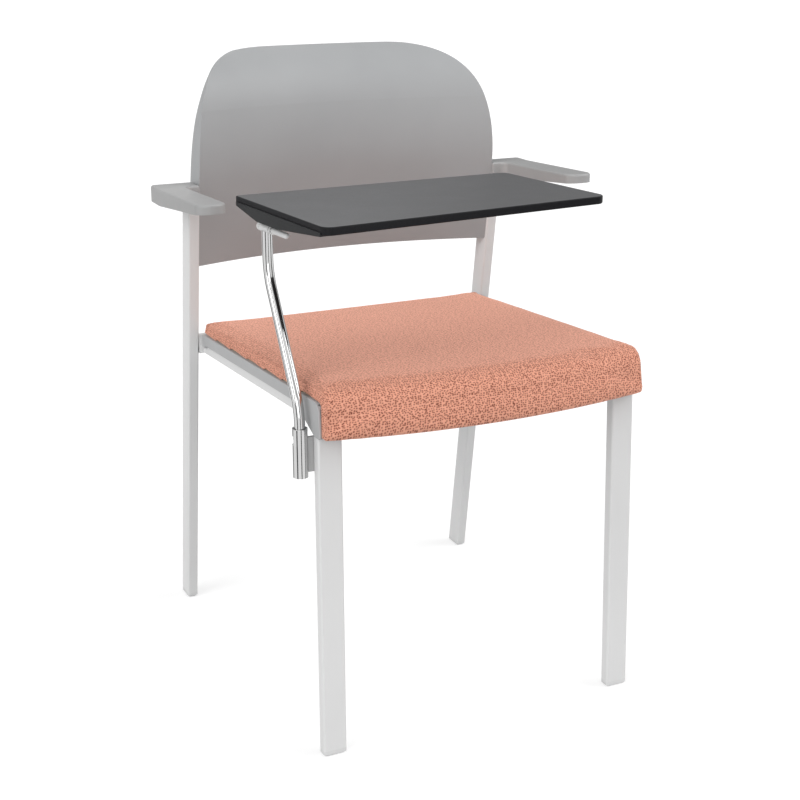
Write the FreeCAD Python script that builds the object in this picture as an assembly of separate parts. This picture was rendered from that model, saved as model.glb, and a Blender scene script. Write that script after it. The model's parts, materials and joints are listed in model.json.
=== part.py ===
import FreeCAD
import Part

import math
import os

os.makedirs("parts", exist_ok=True)

# A stacking chair with an upholstered seat, a plastic back, two arm pads and a writing tablet
# on a bent post. The post swivels in a sleeve on the sitter's right front leg, and the tablet
# tips up on a hinge at the post's top. Millimetres, Z up, the sitter faces -Y, so the sitter's
# right is -X. Lengths along Y are given from the middle of the seat, and the finished chair is
# moved so that the origin is under the middle of its outer box.

# Seat
SEAT_WIDTH = 431.0
SEAT_DEPTH = 418.0
SEAT_PITCH = 3.66
SEAT_RIM_Z = 437.7
PAN_WALL = 2.5
SKIRT_DROP = 14.5
REAR_TAB_DROP = 18.5
REAR_TAB_LENGTH = 12.0
NOSE_DROP = 43.0
NOSE_REACH = 8.0
NOSE_FOOT = 16.0
NOSE_SWEEP = 60.0
NOSE_BROW_ROUND = 14.0
NOSE_CHIN_ROUND = 4.0
NOSE_SWEEP_ROUND = 55.0
PAN_EDGE_ROUND = 2.0
PAN_SIDE_ROUND = 1.2
APRON_DEPTH = 2.0
SOFT_GAP = 0.3

# Cushion and the board inside it
CUSHION_SHOULDER = 15.5
CUSHION_CROWN = 18.5
CUSHION_ROUND = 3.0
CUSHION_PROUD = 12.0
CUSHION_BOW = 20.0
HEM_SAG = 3.0
CUSHION_DRAWN_IN = 2.0
CUSHION_SPANS = 8
WATERFALL = 21.0
HEM_ROUND = 7.0
BOARD_THICKNESS = 6.0
BOARD_SIDE_MARGIN = 3.0
BOARD_REAR_MARGIN = 14.0
BOARD_FRONT_MARGIN = 8.0
BOARD_SCREW_BITE = 5.0

# Frame tubes
TUBE_WALL = 1.5
TUBE_ROUND = 2.5
LEG_BROAD = 30.0
LEG_NARROW = 15.0
FRONT_LEG_SETBACK = 10.0
FRONT_RAKE = 1.66
FRONT_SPLAY = 0.55
LEG_GAP = 0.5
REAR_LEG_GAP = 2.0
REAR_RAKE = 8.68
REAR_LEG_TOP = 614.0
RAIL_WIDTH = 15.0
RAIL_HEIGHT = 25.0
RAIL_INSET = 1.0
REAR_TUBE_BEHIND = 5.0
NOTCH_GAP = 1.0

# Foot caps
FOOT_HEIGHT = 7.0
FOOT_PLUG = 16.0
FOOT_CHAMFER = 2.0
PLUG_GAP = 0.1

# Back
BACK_MARGIN = 3.0
BACK_BOTTOM_Z = 522.0
BACK_LOWER = 118.0
BACK_BEHIND_LEG = 4.0
BACK_PLAN_R = 676.0
LUMBAR_R = 242.0
UPPER_LEAN = 12.5
UPPER_R = 100.0
TOP_LEAN = 70.0
BACK_SKIN = 4.0
BACK_RIM_WALL = 5.0
BACK_RIM_DEPTH = 36.5
BACK_RIM_STRAIGHT = 213.0
BACK_FOOT_ROUND = 1.0
SHOULDER_WIDE = 132.0
SHOULDER_TALL = 187.0
SHOULDER_FULL = 0.81
BACK_PEG_D = 9.0
BACK_PEG_LENGTH = 11.0
BACK_PEG_LOW = 22.0
BACK_PEG_PITCH = 34.0

# Arm pads
ARM_WIDTH = 38.0
ARM_OFFSET = 5.5
ARM_LENGTH = 210.0
ARM_REAR_INSET = 1.0
ARM_REAR_THICK = 21.0
ARM_TIP_THICK = 12.0
ARM_RISE = 8.0
ARM_TIP_ROUND = 17.0
ARM_CORNER = 6.0
ARM_INNER_CORNER = 10.0
ARM_OVERHANG = 3.0
ARM_EDGE = 3.0
ARM_PEG = 24.0
ARM_PEG_GAP = 0.2

# Swivel sleeve and post
POST_D = 12.7
POST_GAP = 6.65
POST_OFFSET = 90.3
POST_BEND_ANGLE = 33.0
POST_BEND_R = 70.0
POST_STRAIGHT = 1.0
FIT_GAP = 0.05
BUSH_WALL = 1.0
BUSH_LENGTH = 7.5
SLEEVE_WALL = 1.6
SLEEVE_LENGTH = 59.0
SLEEVE_TOP_Z = 417.0
SLOT_HEIGHT = 11.0
SLOT_BELOW_TOP = 8.5
STOP_PIN_D = 6.0
STOP_PIN_ANGLE = 112.0
STOP_PIN_END_GAP = 0.4
SWIVEL_RANGE = 55.0
STOP_PLAY = 0.5
SLEEVE_CAP = 4.0
THRUST_DISC = 2.0
BRACKET_THICKNESS = 4.0
BRACKET_HEIGHT = 42.0
BRACKET_BELOW_TOP = 12.0
BRACKET_LAP = 24.0

# Tablet and its hinge
TABLET_TOP_Z = 661.0
TABLET_THICKNESS = 9.5
TABLET_YAW = 5.9
TABLET_FRONT = 373.0
TABLET_LEFT = 221.0
TABLET_RIGHT = 197.0
TABLET_RIGHT_INSET = 9.0
TABLET_FRONT_SKEW = 3.4
TABLET_CORNER = 12.0
TABLET_REAR_CORNER = 3.0
TABLET_EDGE = 1.6
HINGE_INSET = 11.8
HINGE_SETBACK = 162.6
HINGE_DROP = 30.0
HINGE_PIN_D = 7.0
KNUCKLE_D = 10.0
KNUCKLE_LENGTH = 22.0
HINGE_WASHER = 1.0
HINGE_PLAY = 0.1
EAR_THICKNESS = 4.0
EAR_WIDTH = 10.0
EAR_LEAN = 10.0
LEAF_THICKNESS = 3.0
LEAF_REACH = 30.0
PIN_HEAD_D = 9.4
PIN_HEAD_H = 2.0
PIN_NOSE = 33.0
CLIP_THICKNESS = 1.2
LUG_REACH = 10.0
LUG_LENGTH = 14.0
REST_GAP = 0.1

# Fairing under the tablet's hinge edge
FAIRING_PROUD = 1.2
FAIRING_LAP = 3.0
FAIRING_LAP_GAP = 0.1
FAIRING_WIDTH = 52.0
FAIRING_DROP = 11.5
FAIRING_LIP = 1.5
FAIRING_END = 3.0
FAIRING_FLAT_FRONT = 113.0
FAIRING_FLAT_REAR = 163.0
FAIRING_FLAT_WIDTH = 14.0
FAIRING_WALL = 2.6
POCKET_GAP = 1.0

# Screws
SCREW_D = 5.0
SCREW_HEAD_D = 10.0
SCREW_HEAD_H = 3.0
SMALL_SCREW_D = 4.0
SMALL_HEAD_D = 7.5
SMALL_HEAD_H = 2.2
HOLE_GAP = 0.1
SEAT_SCREW_SPREAD = 240.0
ACCESS_GAP = 0.5
TABLET_SCREW_BITE = 6.0
LEAF_SCREW_SPREAD = 15.0
BRACKET_SCREW_SPREAD = 24.0
BRACKET_SCREW_LENGTH = 7.0

V = FreeCAD.Vector
UP = V(0, 0, 1)

# Values worked out from the sizes above
SEAT_HALF = SEAT_WIDTH / 2
SEAT_MID = SEAT_DEPTH / 2
PAN_IN = SEAT_HALF - PAN_WALL
FRONT_LEG_OUT = PAN_IN - LEG_GAP
FRONT_LEG_LEAN = V(-math.tan(math.radians(FRONT_SPLAY)), math.tan(math.radians(FRONT_RAKE)), 1)
REAR_LEG_LEAN = V(0, -math.tan(math.radians(REAR_RAKE)), 1)
SEAT_SLOPE = math.tan(math.radians(SEAT_PITCH))
BACK_HALF = SEAT_HALF + BACK_MARGIN
REAR_LEG_OUT = BACK_HALF + LEG_NARROW
RAIL_OUT = FRONT_LEG_OUT - RAIL_INSET
RAIL_TOP = -PAN_WALL
RAIL_BOTTOM = RAIL_TOP - RAIL_HEIGHT
POST_R = POST_D / 2
POST_X = -(SEAT_HALF + POST_GAP + POST_R)
BUSH_IN = POST_R + FIT_GAP
SLEEVE_IN = BUSH_IN + BUSH_WALL
SLEEVE_OUT = SLEEVE_IN + SLEEVE_WALL
SLEEVE_BOTTOM_Z = SLEEVE_TOP_Z - SLEEVE_LENGTH
TABLET_UNDER_Z = TABLET_TOP_Z - TABLET_THICKNESS
HINGE_Z = TABLET_TOP_Z - HINGE_DROP
LEAF_UNDER_Z = TABLET_UNDER_Z - LEAF_THICKNESS
KNUCKLE_R = KNUCKLE_D / 2
EAR_INNER = KNUCKLE_LENGTH / 2 + HINGE_WASHER + HINGE_PLAY
EAR_OUTER = EAR_INNER + EAR_THICKNESS


# Plain shapes
def box(x0, x1, y0, y1, z0, z1):
    return Part.makeBox(x1 - x0, y1 - y0, z1 - z0, V(x0, y0, z0))


def rod(start, direction, radius, length):
    return Part.makeCylinder(radius, length, start, direction)


def prism(points, sweep):
    return Part.Face(Part.makePolygon(points + points[:1])).extrude(sweep)


def arc(start, middle, end):
    return Part.Arc(start, middle, end).toShape()


def line(start, end):
    return Part.LineSegment(start, end).toShape()


def tangent_corner(before, corner, after, radius):
    """The two ends and the middle of the arc that rounds one corner."""
    a = (before - corner).normalize()
    b = (after - corner).normalize()
    half = a.getAngle(b) / 2
    reach = radius / math.tan(half)
    centre = corner + (a + b).normalize() * (radius / math.sin(half))
    middle = centre + (corner - centre).normalize() * radius
    return corner + a * reach, middle, corner + b * reach


def rounded_outline(corners):
    """A closed wire through corners given as (point, radius), with an arc at each one."""
    count = len(corners)
    rounds = []
    for i in range(count):
        point, radius = corners[i]
        rounds.append(tangent_corner(corners[i - 1][0], point, corners[(i + 1) % count][0], radius))
    edges = []
    for i in range(count):
        start, middle, end = rounds[i]
        following = rounds[(i + 1) % count][0]
        edges.append(arc(start, middle, end))
        edges.append(line(end, following))
    return Part.Wire(edges)


def rounded_rectangle(cx, cy, z, width, depth, radius):
    w = width / 2
    d = depth / 2
    corners = [V(cx - w, cy - d, z), V(cx + w, cy - d, z), V(cx + w, cy + d, z), V(cx - w, cy + d, z)]
    return Part.Face(rounded_outline([(corner, radius) for corner in corners]))


def mirrored(shape):
    return shape.mirror(V(0, 0, 0), V(1, 0, 0))


def screw(seat, direction, shank_d, length, head_d, head_h):
    """A dome-headed screw whose head sits on the seat and whose shank runs along the direction."""
    head = rod(seat, direction * -1, head_d / 2, head_h)
    rim = [edge for edge in head.Edges if edge.Curve.TypeId == "Part::GeomCircle"]
    top = max(rim, key=lambda edge: (edge.Curve.Center - seat).dot(direction * -1))
    head = head.makeFillet(head_h * 0.6, [top])
    return head.fuse(rod(seat, direction, shank_d / 2, length)).removeSplitter()


# Places: the pitched seat, the turned tablet, and the two raked pairs of legs
def on_seat(shape):
    """Put a shape drawn on a level seat, with its rim at zero, onto the pitched one."""
    placed = shape.copy()
    placed.rotate(V(0, 0, 0), V(1, 0, 0), -SEAT_PITCH)
    placed.translate(V(0, 0, SEAT_RIM_Z))
    return placed


def rim_height(y):
    return SEAT_RIM_Z - y * SEAT_SLOPE


REAR_LEG_FRONT = SEAT_MID + REAR_LEG_GAP + rim_height(SEAT_MID) * -REAR_LEG_LEAN.y
FRONT_LEG_TOP_Z = rim_height(-SEAT_MID)
FRONT_LEG_FRONT = -SEAT_MID - NOSE_REACH + FRONT_LEG_SETBACK
FRONT_LEG_AT_TOP = V(FRONT_LEG_OUT - LEG_BROAD / 2, FRONT_LEG_FRONT + LEG_NARROW / 2, 0)
FRONT_FOOT = FRONT_LEG_AT_TOP - V(FRONT_LEG_LEAN.x, FRONT_LEG_LEAN.y, 0) * FRONT_LEG_TOP_Z
REAR_FOOT = V(REAR_LEG_OUT - LEG_NARROW / 2, REAR_LEG_FRONT + LEG_BROAD / 2, 0)
SLEEVE_MID_Z = SLEEVE_TOP_Z - BRACKET_BELOW_TOP - BRACKET_HEIGHT / 2
LEG_BACK_AT_SLEEVE = FRONT_FOOT.y + FRONT_LEG_LEAN.y * SLEEVE_MID_Z + LEG_NARROW / 2
SLEEVE_Y = LEG_BACK_AT_SLEEVE + BRACKET_THICKNESS / 2
POST_TOP_Y = SLEEVE_Y + POST_OFFSET


def on_tablet(shape):
    """Put a shape drawn from the tablet's front corner, hinge edge along Y, at its real place."""
    placed = shape.copy()
    placed.translate(V(-HINGE_INSET, -HINGE_SETBACK, 0))
    placed.rotate(V(0, 0, 0), UP, TABLET_YAW)
    placed.translate(V(POST_X, POST_TOP_Y, 0))
    return placed


def raked_bar(foot, lean, width, depth, radius, z0, z1):
    """A bar with a level rounded section that leans as it rises."""
    centre = foot + lean * z0
    face = rounded_rectangle(centre.x, centre.y, z0, width, depth, radius)
    return face.extrude(lean * (z1 - z0))


def raked_tube(foot, lean, width, depth, z0, z1):
    outer = raked_bar(foot, lean, width, depth, TUBE_ROUND, z0, z1)
    hollow = 2 * TUBE_WALL
    return outer.cut(raked_bar(foot, lean, width - hollow, depth - hollow, TUBE_ROUND - TUBE_WALL, z0, z1))


# Frame
def above_pan():
    """Everything above the underside of the pan's top plate."""
    far = SEAT_WIDTH
    return on_seat(box(-far, far, -far, far, RAIL_TOP, far))


def front_leg_solid():
    return raked_bar(FRONT_FOOT, FRONT_LEG_LEAN, LEG_BROAD, LEG_NARROW, TUBE_ROUND, 0, FRONT_LEG_TOP_Z)


def bracket_screw_heights():
    half = BRACKET_SCREW_SPREAD / 2
    return [SLEEVE_MID_Z - half, SLEEVE_MID_Z + half]


def bracket_screw_seat(z):
    """The middle of a bracket screw's head face, on the back of the bracket."""
    centre = FRONT_FOOT + FRONT_LEG_LEAN * z
    back = V(-centre.x, centre.y + LEG_NARROW / 2, z)
    return back + V(0, BRACKET_THICKNESS, 0)


def front_leg(with_bracket):
    leg = raked_tube(FRONT_FOOT, FRONT_LEG_LEAN, LEG_BROAD, LEG_NARROW, FOOT_HEIGHT, FRONT_LEG_TOP_Z)
    leg = leg.cut(above_pan())
    if not with_bracket:
        return leg
    leg = mirrored(leg)
    for z in bracket_screw_heights():
        leg = leg.cut(rod(bracket_screw_seat(z), LEG_NORMAL * -1, SCREW_D / 2 + HOLE_GAP, LEG_NARROW))
    return leg


LEG_NORMAL = V(0, 1, -FRONT_LEG_LEAN.y).normalize()


def back_peg_heights():
    low = BACK_BOTTOM_Z + BACK_PEG_LOW
    return [low, low + BACK_PEG_PITCH]


def rear_leg_centre(z):
    return REAR_FOOT + REAR_LEG_LEAN * z


def rear_screw_start(z):
    """Where a screw enters the back face of a rear leg."""
    return rear_leg_centre(z) + REAR_LEG_NORMAL * (LEG_BROAD / 2 * math.cos(math.radians(REAR_RAKE)))


REAR_LEG_NORMAL = V(0, 1, -REAR_LEG_LEAN.y).normalize()


def arm_screw_height():
    return REAR_LEG_TOP - ARM_PEG / 2


def rear_leg():
    leg = raked_tube(REAR_FOOT, REAR_LEG_LEAN, LEG_NARROW, LEG_BROAD, FOOT_HEIGHT, REAR_LEG_TOP)
    for z in back_peg_heights():
        start = V(BACK_HALF - PAN_WALL, rear_leg_centre(z).y, z)
        leg = leg.cut(rod(start, V(1, 0, 0), BACK_PEG_D / 2 + HOLE_GAP, LEG_NARROW / 2 + PAN_WALL))
    hole = SMALL_SCREW_D / 2 + HOLE_GAP
    for z in back_peg_heights() + [arm_screw_height()]:
        leg = leg.cut(rod(rear_screw_start(z), REAR_LEG_NORMAL * -1, hole, LEG_BROAD / 2))
    return leg


def square_tube(x0, x1, y0, y1, z0, z1, along_x):
    """A level rectangular tube, open at both ends."""
    w = TUBE_WALL
    outer = box(x0, x1, y0, y1, z0, z1)
    if along_x:
        return outer.cut(box(x0, x1, y0 + w, y1 - w, z0 + w, z1 - w))
    return outer.cut(box(x0 + w, x1 - w, y0, y1, z0 + w, z1 - w))


REAR_TUBE_FRONT = SEAT_MID + REAR_TUBE_BEHIND


def seat_screw_places():
    half = SEAT_SCREW_SPREAD / 2
    x = RAIL_OUT - RAIL_WIDTH / 2
    return [V(sx * x, y, 0) for sx in (-1, 1) for y in (-half, half)]


def side_rail():
    inside = RAIL_OUT - RAIL_WIDTH
    front = FRONT_LEG_AT_TOP.y
    tube = square_tube(inside, RAIL_OUT, front, REAR_TUBE_FRONT, RAIL_BOTTOM, RAIL_TOP, False)
    for place in seat_screw_places():
        if place.x > 0:
            foot = V(place.x, place.y, RAIL_BOTTOM)
            tube = tube.cut(rod(foot, UP, SCREW_HEAD_D / 2 + ACCESS_GAP, RAIL_HEIGHT / 2))
            tube = tube.cut(rod(foot, UP, SCREW_D / 2 + HOLE_GAP, RAIL_HEIGHT))
    return on_seat(tube).cut(front_leg_solid())


def front_cross_tube():
    middle = FRONT_LEG_AT_TOP.y
    end = FRONT_LEG_OUT - LEG_BROAD + TUBE_ROUND
    half = LEG_NARROW / 2
    tube = square_tube(-end, end, middle - half, middle + half, RAIL_BOTTOM, RAIL_TOP, True)
    leg = front_leg_solid()
    return on_seat(tube).cut(leg).cut(mirrored(leg))


def rear_cross_tube():
    y = REAR_TUBE_FRONT
    tube = square_tube(-BACK_HALF, BACK_HALF, y, y + LEG_NARROW, RAIL_BOTTOM, RAIL_TOP, True)
    return on_seat(tube)


def foot_cap(foot, lean, width, depth):
    """A plastic cap that plugs a leg's lower end."""
    trim = 2 * FOOT_CHAMFER
    edge = foot + lean * FOOT_CHAMFER
    sole = rounded_rectangle(foot.x, foot.y, 0, width - trim, depth - trim, TUBE_ROUND)
    full = rounded_rectangle(edge.x, edge.y, FOOT_CHAMFER, width, depth, TUBE_ROUND)
    base = Part.makeLoft([sole.OuterWire, full.OuterWire], True, True)
    base = base.fuse(raked_bar(foot, lean, width, depth, TUBE_ROUND, FOOT_CHAMFER, FOOT_HEIGHT))
    slim = 2 * (TUBE_WALL + PLUG_GAP)
    plug_round = TUBE_ROUND - TUBE_WALL
    plug_top = FOOT_HEIGHT + FOOT_PLUG
    plug = raked_bar(foot, lean, width - slim, depth - slim, plug_round, FOOT_HEIGHT, plug_top)
    return base.fuse(plug)


# Seat
NOSE_Y = -SEAT_MID - NOSE_REACH
NOSE_WALL_Y = NOSE_Y + APRON_DEPTH
CUSHION_HALF = PAN_IN - SOFT_GAP


def cheek_outline(x):
    """The side view of the pan, with its deep nose and its rear tab."""
    foot = NOSE_Y + NOSE_FOOT
    tab = SEAT_MID - REAR_TAB_LENGTH
    return rounded_outline([
        (V(x, SEAT_MID, 0), PAN_EDGE_ROUND),
        (V(x, NOSE_Y, 0), NOSE_BROW_ROUND),
        (V(x, NOSE_Y, -NOSE_DROP), NOSE_CHIN_ROUND),
        (V(x, foot, -NOSE_DROP), NOSE_CHIN_ROUND),
        (V(x, foot + NOSE_SWEEP, -SKIRT_DROP), NOSE_SWEEP_ROUND),
        (V(x, tab, -SKIRT_DROP), PAN_EDGE_ROUND),
        (V(x, tab + REAR_TAB_DROP - SKIRT_DROP, -REAR_TAB_DROP), PAN_EDGE_ROUND),
        (V(x, SEAT_MID, -REAR_TAB_DROP), PAN_EDGE_ROUND),
    ])


def seat_pan():
    """A moulded tray turned upside down, with a wall behind the cushion's apron and a cheek at each end."""
    far = SEAT_WIDTH
    pan = Part.Face(cheek_outline(-SEAT_HALF)).extrude(V(SEAT_WIDTH, 0, 0))
    pan = pan.makeFillet(PAN_SIDE_ROUND, [edge for edge in pan.Edges if edge.BoundBox.XLength < PAN_WALL])
    apron_room = box(-PAN_IN, PAN_IN, -far, NOSE_WALL_Y, -far, far)
    hollow = box(-PAN_IN, PAN_IN, NOSE_WALL_Y + PAN_WALL, SEAT_MID - PAN_WALL, -far, -PAN_WALL)
    pan = pan.cut(apron_room).cut(hollow)
    inside = RAIL_OUT - RAIL_WIDTH - NOTCH_GAP
    notch = box(inside, PAN_IN, SEAT_MID - 2 * PAN_WALL, SEAT_MID + PAN_WALL, RAIL_BOTTOM, RAIL_TOP)
    pan = pan.cut(notch).cut(mirrored(notch))
    for place in seat_screw_places():
        pan = pan.cut(rod(place - V(0, 0, PAN_WALL), UP, SCREW_D / 2 + HOLE_GAP, PAN_WALL))
    return on_seat(pan)


def board_block(gap):
    x = CUSHION_HALF - BOARD_SIDE_MARGIN + gap
    front = NOSE_WALL_Y + BOARD_FRONT_MARGIN - gap
    return box(-x, x, front, SEAT_MID - BOARD_REAR_MARGIN + gap, 0, BOARD_THICKNESS + gap)


def seat_board():
    board = board_block(0)
    for place in seat_screw_places():
        board = board.cut(rod(place, UP, SCREW_D / 2 + HOLE_GAP, BOARD_SCREW_BITE))
    return on_seat(board)


def quarter(start, corner, end):
    """A rounding from the start to the end that leaves the corner outside it."""
    chord = (start + end) * 0.5
    return arc(start, corner + (chord - corner) * (2 - math.sqrt(2)), end)


def cushion_section(x):
    """One lengthwise section of the cushion: flat under, crowned over, with an apron in front."""
    middle = 1 - (x / CUSHION_HALF) ** 2
    turn = min(1.0, (CUSHION_HALF - abs(x)) / CUSHION_ROUND)
    round_in = CUSHION_ROUND * (1 - math.sqrt(1 - (1 - turn) ** 2))
    top = CUSHION_SHOULDER - round_in
    crown = V(x, 0, top + (CUSHION_CROWN - CUSHION_SHOULDER) * middle + SOFT_GAP)
    rear = SEAT_MID - CUSHION_DRAWN_IN * middle - round_in
    front = NOSE_Y - CUSHION_PROUD - CUSHION_BOW * middle + round_in
    low = -NOSE_DROP - HEM_SAG * middle
    wall = NOSE_WALL_Y - SOFT_GAP
    rear_side = V(x, rear, top - CUSHION_ROUND)
    rear_top = V(x, rear - CUSHION_ROUND, top)
    brow = V(x, front + WATERFALL, top)
    face_top = V(x, front, top - WATERFALL)
    face_low = V(x, front, low + HEM_ROUND)
    hem = V(x, front + HEM_ROUND, low)
    return Part.Wire([
        line(V(x, rear, SOFT_GAP), rear_side),
        quarter(rear_side, V(x, rear, top), rear_top),
        arc(rear_top, crown, brow),
        quarter(brow, V(x, front, top), face_top),
        line(face_top, face_low),
        quarter(face_low, V(x, front, low), hem),
        line(hem, V(x, wall, low)),
        line(V(x, wall, low), V(x, wall, SOFT_GAP)),
        line(V(x, wall, SOFT_GAP), V(x, rear, SOFT_GAP)),
    ])


def seat_cushion():
    step = (CUSHION_HALF - CUSHION_ROUND) / CUSHION_SPANS
    spans = [step * i for i in range(1, CUSHION_SPANS + 1)]
    spans += [CUSHION_HALF - CUSHION_ROUND / 3, CUSHION_HALF]
    stations = [-x for x in reversed(spans)] + [0.0] + spans
    pad = Part.makeLoft([cushion_section(x) for x in stations], True, True)
    return on_seat(pad.cut(board_block(SOFT_GAP)))


# Back
def turned(start, radius, first, last):
    """The end of an arc that leaves the start at one lean and finishes at another."""
    return start + V(0, math.cos(first) - math.cos(last), math.sin(last) - math.sin(first)) * radius


def behind(point, lean, depth):
    """A point square behind one on the back's front face."""
    return point + V(0, math.cos(lean), -math.sin(lean)) * depth


LOW_LEAN = math.radians(-REAR_RAKE)
MID_LEAN = math.radians(UPPER_LEAN)
CREST_LEAN = math.radians(TOP_LEAN)
LUMBAR_LEAN = (LOW_LEAN + MID_LEAN) / 2
UPPER_MID_LEAN = (MID_LEAN + CREST_LEAN) / 2
BACK_SAGITTA = BACK_PLAN_R - math.sqrt(BACK_PLAN_R ** 2 - BACK_HALF ** 2)
BACK_EDGE_Y = REAR_LEG_FRONT + REAR_LEG_LEAN.y * BACK_BOTTOM_Z + BACK_BEHIND_LEG
BACK_FOOT = V(0, BACK_EDGE_Y + BACK_SAGITTA, BACK_BOTTOM_Z)
BACK_WAIST = BACK_FOOT + REAR_LEG_LEAN * BACK_LOWER
BACK_LUMBAR = turned(BACK_WAIST, LUMBAR_R, LOW_LEAN, LUMBAR_LEAN)
BACK_BEND = turned(BACK_WAIST, LUMBAR_R, LOW_LEAN, MID_LEAN)
BACK_UPPER = turned(BACK_BEND, UPPER_R, MID_LEAN, UPPER_MID_LEAN)
BACK_CREST = turned(BACK_BEND, UPPER_R, MID_LEAN, CREST_LEAN)


def back_front_edges():
    lumbar = arc(BACK_WAIST, BACK_LUMBAR, BACK_BEND)
    return [line(BACK_FOOT, BACK_WAIST), lumbar, arc(BACK_BEND, BACK_UPPER, BACK_CREST)]


def skin_section():
    """The skin on the middle plane: the front face and one parallel to it."""
    crest = behind(BACK_CREST, CREST_LEAN, BACK_SKIN)
    upper = behind(BACK_UPPER, UPPER_MID_LEAN, BACK_SKIN)
    bend = behind(BACK_BEND, MID_LEAN, BACK_SKIN)
    lumbar = behind(BACK_LUMBAR, LUMBAR_LEAN, BACK_SKIN)
    waist = behind(BACK_WAIST, LOW_LEAN, BACK_SKIN)
    foot = BACK_FOOT + V(0, BACK_SKIN / math.cos(LOW_LEAN), 0)
    rear = [line(BACK_CREST, crest), arc(crest, upper, bend), arc(bend, lumbar, waist)]
    return Part.Face(Part.Wire(back_front_edges() + rear + [line(waist, foot), line(foot, BACK_FOOT)]))


def tangent_arc(start, heading, end):
    """An arc that leaves the start along the heading and finishes at the end."""
    chord = end - start
    square = V(0, heading.z, -heading.y)
    radius = chord.Length ** 2 / (2 * chord.dot(square))
    centre = start + square * radius
    middle = centre + ((start + end) * 0.5 - centre).normalize() * abs(radius)
    return arc(start, middle, end)


def rim_section():
    """The rim on the middle plane: its rear edge is straight and sweeps into the skin at the crest."""
    foot = BACK_FOOT + V(0, BACK_RIM_DEPTH, 0)
    blend = foot + REAR_LEG_LEAN * BACK_RIM_STRAIGHT
    crest = behind(BACK_CREST, CREST_LEAN, BACK_SKIN)
    sweep = tangent_arc(blend, V(REAR_LEG_LEAN).normalize(), crest)
    rear = [line(BACK_CREST, crest), sweep, line(blend, foot), line(foot, BACK_FOOT)]
    return Part.Face(Part.Wire(back_front_edges() + rear))


def swept_back(section):
    """Turn a section about the upright axis that gives the back its hollow plan."""
    axis = V(0, BACK_FOOT.y - BACK_PLAN_R, 0)
    reach = math.degrees(math.asin((BACK_HALF + BACK_RIM_DEPTH) / BACK_PLAN_R))
    section.rotate(axis, UP, -reach)
    return section.revolve(axis, UP, 2 * reach)


def back_outline(inset):
    """The front view: square foot, straight sides and shoulders that round into a level top."""
    half = BACK_HALF - inset
    top = BACK_CREST.z - inset
    foot = BACK_BOTTOM_Z + inset
    wide = SHOULDER_WIDE - inset
    tall = SHOULDER_TALL - inset
    r = BACK_FOOT_ROUND
    shoulder = top - tall
    flat = half - wide
    edges = [
        line(V(r - half, 0, foot), V(half - r, 0, foot)),
        quarter(V(half - r, 0, foot), V(half, 0, foot), V(half, 0, foot + r)),
        line(V(half, 0, foot + r), V(half, 0, shoulder)),
        shoulder_curve(flat, shoulder, wide, tall, 1),
        line(V(flat, 0, top), V(-flat, 0, top)),
        shoulder_curve(flat, shoulder, wide, tall, -1),
        line(V(-half, 0, shoulder), V(-half, 0, foot + r)),
        quarter(V(-half, 0, foot + r), V(-half, 0, foot), V(r - half, 0, foot)),
    ]
    return Part.Face(Part.Wire(edges))


def shoulder_curve(flat, shoulder, wide, tall, side):
    """A full, smooth curve from the back's side to its top."""
    level = shoulder + tall
    curve = Part.BezierCurve()
    curve.setPoles([V(side * (flat + wide), 0, shoulder),
                    V(side * (flat + wide), 0, shoulder + tall * SHOULDER_FULL),
                    V(side * (flat + wide * SHOULDER_FULL), 0, level),
                    V(side * flat, 0, level)])
    return curve.toShape()


def back_shell():
    deep = V(0, 4 * SEAT_DEPTH, 0)
    ahead = V(0, -SEAT_DEPTH, 0)
    outline = back_outline(0)
    outline.translate(ahead)
    window = back_outline(BACK_RIM_WALL)
    window.translate(ahead)
    outline = outline.extrude(deep)
    skin = swept_back(skin_section()).common(outline)
    rim = swept_back(rim_section()).common(outline).cut(window.extrude(deep))
    shell = skin.fuse(rim).removeSplitter()
    for z in back_peg_heights():
        centre = rear_leg_centre(z).y
        start = V(BACK_HALF - BACK_RIM_WALL, centre, z)
        peg = rod(start, V(1, 0, 0), BACK_PEG_D / 2, BACK_RIM_WALL + BACK_PEG_LENGTH)
        pilot = rod(V(REAR_FOOT.x, centre, z) + REAR_LEG_NORMAL * BACK_PEG_D, REAR_LEG_NORMAL * -1,
                    SMALL_SCREW_D / 2 + HOLE_GAP, 2 * BACK_PEG_D)
        peg = peg.cut(pilot)
        shell = shell.fuse(peg).fuse(mirrored(peg))
    return shell


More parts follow.
